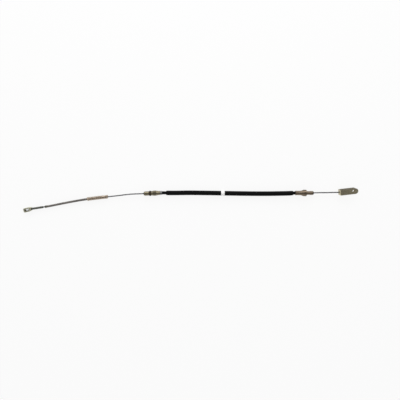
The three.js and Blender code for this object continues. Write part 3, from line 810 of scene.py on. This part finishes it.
def cut(mesh, tool, operation):
    """Joins, cuts or intersects two closed meshes."""
    base = bpy.data.objects.new("base", mesh)
    other = bpy.data.objects.new("tool", tool)
    for piece in (base, other):
        bpy.context.scene.collection.objects.link(piece)
    step = base.modifiers.new("cut", "BOOLEAN")
    step.operation = operation
    step.solver = "EXACT"
    step.object = other
    made = evaluated(base)
    for piece in (base, other):
        bpy.data.objects.remove(piece)
    return made


def bevelled(mesh, width, angle=math.radians(35), segments=3):
    """Rounds the edges over an angle."""
    piece = bpy.data.objects.new("bevelled", mesh)
    bpy.context.scene.collection.objects.link(piece)
    step = piece.modifiers.new("bevel", "BEVEL")
    step.width = width
    step.segments = segments
    step.limit_method = "ANGLE"
    step.angle_limit = angle
    step.use_clamp_overlap = True
    made = evaluated(piece)
    bpy.data.objects.remove(piece)
    return made


# Eye end
EYE_NECK_CORNER = 0.3 * MM
EYE_ROUND = 0.45 * MM
BORE_OVERSHOOT = 1 * MM
STOP_SPAN = STOP_LENGTH * math.cos(SHANK_HEADING)
STOP_MIDDLE = along_shank(WIRE_INSERTION + BARE_WIRE + STOP_LENGTH / 2).x
GUARD_START = STOP_MIDDLE + STOP_SPAN / 2 + COVER_GAP
GUARD_END = SPRING_END - SPRING_SEAT_DEPTH

# How far the slot's painted shade and the shank's darker tone reach past the slot and the shank, and the part
# of its normal by which a face counts as turned that way
TINT_MARGIN = 0.5 * MM
SLOT_MARGIN = 0.6 * MM
FACING = 0.5

# The spring's points in a turn, its wire's sides, and the share of a turn by which its heading is taken
COIL_STEPS = 36
COIL_SIDES = 12
COIL_AHEAD = 0.01


def eye_outlines():
    half = EYE_WIDTH / 2
    neck = EYE_NECK / 2
    shoulder = EYE_LENGTH - EYE_SHOULDER
    outer = rounded([
        (0, -half, EYE_CORNER), (shoulder, EYE_EDGE - half, EYE_CORNER), (EYE_LENGTH, -neck, EYE_NECK_CORNER),
        (EYE_LENGTH, neck, EYE_NECK_CORNER), (shoulder, half - EYE_EDGE, EYE_CORNER), (0, half, EYE_CORNER),
    ])
    slot_half = half - EYE_WALL
    slot_end = EYE_LENGTH - EYE_WEB
    inner = rounded([
        (EYE_WALL, -slot_half, EYE_CORNER / 2), (slot_end, -slot_half, EYE_CORNER / 2),
        (slot_end, slot_half, EYE_CORNER / 2), (EYE_WALL, slot_half, EYE_CORNER / 2),
    ])
    return outer, inner, slot_end


def eye_tint(middle, normal):
    """The shank is darker than the loop, and the inside of the slot gets painted shade."""
    if middle.x > EYE_LENGTH - TINT_MARGIN:
        return SHANK_TINT
    slot_side = EYE_WIDTH / 2 - EYE_WALL + SLOT_MARGIN
    slot_end = EYE_LENGTH - EYE_WEB + TINT_MARGIN
    # Painted shade on the slot's inner walls
    if abs(middle.y) < slot_side and middle.x < slot_end and abs(normal.z) < FACING:
        return HOLLOW_PAINTED_SHADE
    return BARE_TINT


def add_eye():
    outer, inner, slot_end = eye_outlines()
    shank_end = EYE_LENGTH + SHANK_LENGTH
    loop = cut(plate("eye", outer, EYE_DEPTH), plate("slot", inner, EYE_DEPTH * 2), "DIFFERENCE")
    loop = bevelled(loop, EYE_ROUND)
    neck = Matrix.Translation((EYE_LENGTH, 0, 0))
    loop.transform(neck @ Matrix.Rotation(EYE_BEND, 4, "Z") @ neck.inverted())
    shank = rod("shank", slot_end + EYE_WALL / 2, shank_end, SHANK_RADIUS)
    body = cut(loop, shank, "UNION")
    bore = rod("bore", shank_end - WIRE_INSERTION - COVER_GAP, shank_end + BORE_OVERSHOOT, SWAGE_BORE, 32)
    body = cut(body, bore, "DIFFERENCE")
    body = paint(smooth(body), eye_tint)
    tip = along_shank(WIRE_INSERTION - SHANK_LENGTH - EYE_LENGTH) + ORIGIN
    body.transform(Matrix.Translation(tip) @ Matrix.Rotation(SHANK_HEADING, 4, "Z"))
    link("eye", body, "inner_cable", "end_eye", "yellow_zinc", "eye_zinc")


def swaged(name, middle, length, radius, bore):
    """A plain ring round the wire, with rounded ends."""
    half = length / 2
    edge = CHAMFER * ROUNDING
    outline = [
        (middle - half, radius - CHAMFER), (middle - half + edge, radius - edge),
        (middle - half + CHAMFER, radius), (middle + half - CHAMFER, radius),
        (middle + half - edge, radius - edge), (middle + half, radius - CHAMFER),
        (middle + half, bore), (middle - half, bore),
    ]
    return coaxial(name, outline, sides=48, step=1.5 * MM)


def add_stop():
    mesh = swaged("stop", STOP_MIDDLE, STOP_SPAN, STOP_RADIUS, SWAGE_BORE)
    link("stop", mesh, "inner_cable", "stop_collar", "olive_zinc", "dark_zinc")


def add_guard():
    outline = [
        (GUARD_START, GUARD_RADIUS - SOFT_EDGE), (GUARD_START + SOFT_EDGE, GUARD_RADIUS),
        (GUARD_END - SOFT_EDGE, GUARD_RADIUS), (GUARD_END, GUARD_RADIUS - SOFT_EDGE),
        (GUARD_END, SWAGE_BORE), (GUARD_START, SWAGE_BORE),
    ]
    mesh = coaxial("guard", outline, sides=40)
    link("guard", mesh, "inner_cable", "wire_guard", "guard_grey")


def add_guard_ring():
    middle = GUARD_END + COVER_GAP + GUARD_RING_LENGTH / 2
    mesh = swaged("guard_ring", middle, GUARD_RING_LENGTH, GUARD_RING_RADIUS, SWAGE_BORE)
    link("guard_ring", mesh, "inner_cable", "guard_end_ring", "olive_zinc", "dark_zinc")


def add_spring():
    """A helix round the bent wire, with closer turns at both ends."""
    start = SPRING_START + SPRING_WIRE_RADIUS
    end = SPRING_END - SPRING_WIRE_RADIUS
    end_lift = SPRING_END_TURNS * SPRING_END_PITCH
    open_length = end - start - 2 * end_lift
    open_turns = open_length / SPRING_PITCH
    turns = open_turns + 2 * SPRING_END_TURNS

    def lift(turn):
        if turn < SPRING_END_TURNS:
            return turn * SPRING_END_PITCH
        opened = turn - SPRING_END_TURNS
        if opened < open_turns:
            return end_lift + opened * SPRING_PITCH
        return end_lift + open_length + (opened - open_turns) * SPRING_END_PITCH

    def coil_point(turn):
        point, _, across, above = at(start + lift(turn))
        angle = 2 * math.pi * turn
        return point + (across * math.cos(angle) + above * math.sin(angle)) * COIL_RADIUS

    steps = round(turns * COIL_STEPS)
    rings = []
    for step in range(steps + 1):
        turn = turns * step / steps
        point = coil_point(turn)
        ahead = coil_point(min(turn + COIL_AHEAD, turns)) - coil_point(max(turn - COIL_AHEAD, 0))
        ahead.normalize()
        out = (point - at(start + lift(turn))[0]).normalized()
        side_way = ahead.cross(out).normalized()
        out = side_way.cross(ahead)
        ring = []
        for side in range(COIL_SIDES):
            angle = 2 * math.pi * side / COIL_SIDES
            ring.append(point + (out * math.cos(angle) + side_way * math.sin(angle)) * SPRING_WIRE_RADIUS)
        rings.append(ring)
    mesh = smooth(loft("spring", rings), COIL_CREASE)
    link("spring", mesh, "inner_cable", "return_spring", "spring_steel")


# Clevis end
BUTTON_FACE = 0.8 * MM
BUTTON_RIM = 0.6 * MM
BUTTON_CHEEK = 0.2 * MM
FOLD_SEGMENTS = 10
NOSE_SEGMENTS = 32
CORNER_SEGMENTS = 6
PIN_SIDES = 48
CLEVIS_ROUND = 0.35 * MM
CLEVIS_PIN_X = CLEVIS_LENGTH - CLEVIS_PIN_REACH

# The clevis's darkening: margins of the painted shade on its inside, which stops short of the lit pin hole,
# levels at the fold and the nose, and where the fade ends
PIN_MARGIN = 2 * MM
GAP_MARGIN = 0.4 * MM
FOLD_LEVEL = 0.5
NOSE_LEVEL = 0.85
FADE_SHARE = 0.8


def add_button():
    blind = WIRE_END + SEAT_GAP
    edge = BUTTON_FACE * ROUNDING
    outline = [
        (BUTTON, SWAGE_BORE + SEAT_GAP), (BUTTON + BUTTON_FACE / 2, BUTTON_RADIUS - BUTTON_RIM),
        (BUTTON + BUTTON_FACE, BUTTON_RADIUS - BUTTON_CHEEK), (BUTTON + 2 * BUTTON_FACE, BUTTON_RADIUS),
        (BUTTON_END - BUTTON_FACE, BUTTON_RADIUS), (BUTTON_END - edge, BUTTON_RADIUS - edge),
        (BUTTON_END, BUTTON_RADIUS - BUTTON_FACE), (BUTTON_END, 0),
        (blind, 0), (blind, SWAGE_BORE), (BUTTON, SWAGE_BORE),
    ]
    mesh = coaxial("button", outline, sides=48, straight=BUTTON_STRAIGHT)
    paint(mesh, lambda middle, normal: BARE_TINT)
    return link("button", mesh, "inner_cable", "wire_button", "olive_zinc")


def fold_outline():
    """The strap's profile in the plane of the fold, as a closed outline."""
    outside = CLEVIS_GAP / 2 + CLEVIS_STRAP
    inside = CLEVIS_GAP / 2
    inner = CLEVIS_FOLD - CLEVIS_STRAP
    return rounded([
        (CLEVIS_LENGTH, -outside, 0), (CLEVIS_LENGTH, -inside, 0),
        (CLEVIS_STRAP, -inside, inner), (CLEVIS_STRAP, inside, inner),
        (CLEVIS_LENGTH, inside, 0), (CLEVIS_LENGTH, outside, 0),
        (0, outside, CLEVIS_FOLD), (0, -outside, CLEVIS_FOLD),
    ], FOLD_SEGMENTS)


def clevis_tint(middle, normal):
    """The strap's cut edges and its inside get painted shade, left off round the pin hole where light falls
    through, and its flat faces darken towards the fold.
    """
    # Painted shade on the strap's cut edges, which face sideways
    if abs(normal.y) > FACING and middle.x > CLEVIS_STRAP:
        return EDGE_PAINTED_SHADE
    inside = abs(middle.z) < CLEVIS_GAP / 2 + GAP_MARGIN and middle.x > CLEVIS_STRAP / 2
    from_pin = (middle.xy - Vector((CLEVIS_PIN_X, 0))).length
    # Painted shade inside the U, left off round the pin hole where light falls through
    if inside and from_pin > CLEVIS_PIN_RADIUS + PIN_MARGIN:
        return HOLLOW_PAINTED_SHADE
    if middle.x < CLEVIS_STRAP:
        return BARE_TINT
    share = min(1.0, middle.x / (CLEVIS_LENGTH * FADE_SHARE))
    level = FOLD_LEVEL + (NOSE_LEVEL - FOLD_LEVEL) * share
    return level, level, level


def add_clevis():
    """One strap folded to a U and cut to its plan, with a pin hole in both legs and a hole in its base."""
    half = CLEVIS_WIDTH / 2
    corner = CLEVIS_BASE_CORNER
    tall = CLEVIS_GAP + 4 * CLEVIS_STRAP
    quarter = math.pi / 2
    strap = plate("clevis", fold_outline(), CLEVIS_WIDTH)
    strap.transform(Matrix.Rotation(quarter, 4, "X"))
    plan = arc(CLEVIS_LENGTH - half, 0, half, -quarter, quarter, NOSE_SEGMENTS)
    plan += arc(corner, half - corner, corner, quarter, 2 * quarter, CORNER_SEGMENTS)
    plan += arc(corner, corner - half, corner, 2 * quarter, 3 * quarter, CORNER_SEGMENTS)
    strap = cut(strap, plate("plan", plan, tall), "INTERSECT")
    pin = arc(CLEVIS_PIN_X, 0, CLEVIS_PIN_RADIUS, 0, 4 * quarter, PIN_SIDES)[:-1]
    strap = cut(strap, plate("pin_hole", pin, tall), "DIFFERENCE")
    strap = cut(strap, rod("wire_hole", -CLEVIS_STRAP, 2 * CLEVIS_STRAP, CLEVIS_BASE_HOLE, 40), "DIFFERENCE")
    strap = paint(smooth(bevelled(strap, CLEVIS_ROUND)), clevis_tint)
    strap.transform(Matrix.Translation((-CLEVIS_STRAP / 2, 0, 0)))
    pivot = Vector((CLEVIS_PIVOT, CLEVIS_LINE, COLLAR_RADIUS)) + ORIGIN
    strap.transform(Matrix.Translation(pivot) @ Matrix.Rotation(CLEVIS_YAW, 4, "Z"))
    return link("clevis_strap", strap, "clevis", "clevis", "olive_zinc")


# Floor and light. The sky is bright up to one height and dim above another
FLOOR_SIZE = 6.0
FLOOR_PAINT = (0.9, 0.9, 0.9, 1)
WHITE_SHARE = 0.88
HORIZON_LIGHT = 1.1
HORIZON_TO = 0.4
CEILING_LIGHT = 0.25
CEILING_FROM = 0.9
KEY_POWER = 12
KEY_PLACE = Vector((0, 1.3, 0.75))
KEY_SIZE = (1.6, 0.8)


def add_floor():
    """A white floor that partly glows where it is seen straight or in a mirroring surface."""
    mesh = bpy.data.meshes.new("floor")
    half = FLOOR_SIZE / 2
    corners = [(-half, -half, 0), (half, -half, 0), (half, half, 0), (-half, half, 0)]
    mesh.from_pydata(corners, [], [(0, 1, 2, 3)])
    floor = bpy.data.objects.new("floor", mesh)
    bpy.context.scene.collection.objects.link(floor)
    material = bpy.data.materials.new("floor")
    material.use_nodes = True
    nodes = material.node_tree.nodes
    links = material.node_tree.links
    nodes.clear()
    out = nodes.new("ShaderNodeOutputMaterial")
    matt = nodes.new("ShaderNodeBsdfDiffuse")
    matt.inputs["Color"].default_value = FLOOR_PAINT
    glow = nodes.new("ShaderNodeEmission")
    rays = nodes.new("ShaderNodeLightPath")
    seen = nodes.new("ShaderNodeMath")
    seen.operation = "MAXIMUM"
    share = nodes.new("ShaderNodeMath")
    share.operation = "MULTIPLY"
    share.inputs[1].default_value = WHITE_SHARE
    mix = nodes.new("ShaderNodeMixShader")
    links.new(rays.outputs["Is Camera Ray"], seen.inputs[0])
    links.new(rays.outputs["Is Glossy Ray"], seen.inputs[1])
    links.new(seen.outputs[0], share.inputs[0])
    links.new(share.outputs[0], mix.inputs["Fac"])
    links.new(matt.outputs[0], mix.inputs[1])
    links.new(glow.outputs[0], mix.inputs[2])
    links.new(mix.outputs[0], out.inputs["Surface"])
    mesh.materials.append(material)


def light_sky():
    """A room that is bright at the horizon and dim overhead."""
    world = bpy.data.worlds.new("world")
    bpy.context.scene.world = world
    world.use_nodes = True
    nodes = world.node_tree.nodes
    links = world.node_tree.links
    sky = nodes["Background"]
    sky.inputs["Color"].default_value = (1, 1, 1, 1)
    place = nodes.new("ShaderNodeTexCoord")
    height = nodes.new("ShaderNodeSeparateXYZ")
    links.new(place.outputs["Generated"], height.inputs["Vector"])
    level = nodes.new("ShaderNodeMapRange")
    level.interpolation_type = "SMOOTHSTEP"
    level.inputs["From Min"].default_value = HORIZON_TO
    level.inputs["From Max"].default_value = CEILING_FROM
    level.inputs["To Min"].default_value = HORIZON_LIGHT
    level.inputs["To Max"].default_value = CEILING_LIGHT
    links.new(height.outputs["Z"], level.inputs["Value"])
    links.new(level.outputs["Result"], sky.inputs["Strength"])


def add_key_light():
    """A low soft light from the +Y side, turned to the middle of the cable."""
    data = bpy.data.lights.new("key", "AREA")
    data.shape = "RECTANGLE"
    data.size, data.size_y = KEY_SIZE
    data.energy = KEY_POWER
    lamp = bpy.data.objects.new("key", data)
    bpy.context.scene.collection.objects.link(lamp)
    lamp.location = KEY_PLACE
    lamp.rotation_euler = (-KEY_PLACE).to_track_quat("-Z", "Y").to_euler()


add_camera()
wire, wire_path = add_wire()
sheath, sheath_path = add_sheath()
add_conduit()
add_marker()
add_left_cap()
add_seal_ring()
add_ferrule()
add_bush("left_bush", "left_wire_bush", 0, LEFT_BUSH_END, LEFT_STRAIGHT)
right_cap = add_right_cap()
add_bush("right_bush", "right_wire_bush", RIGHT_TIP, RIGHT_BUSH, RIGHT_STRAIGHT)
add_eye()
add_stop()
add_guard()
add_guard_ring()
add_spring()
button = add_button()
clevis = add_clevis()

add_floor()
light_sky()
add_key_light()
bpy.context.scene.view_settings.view_transform = "Standard"
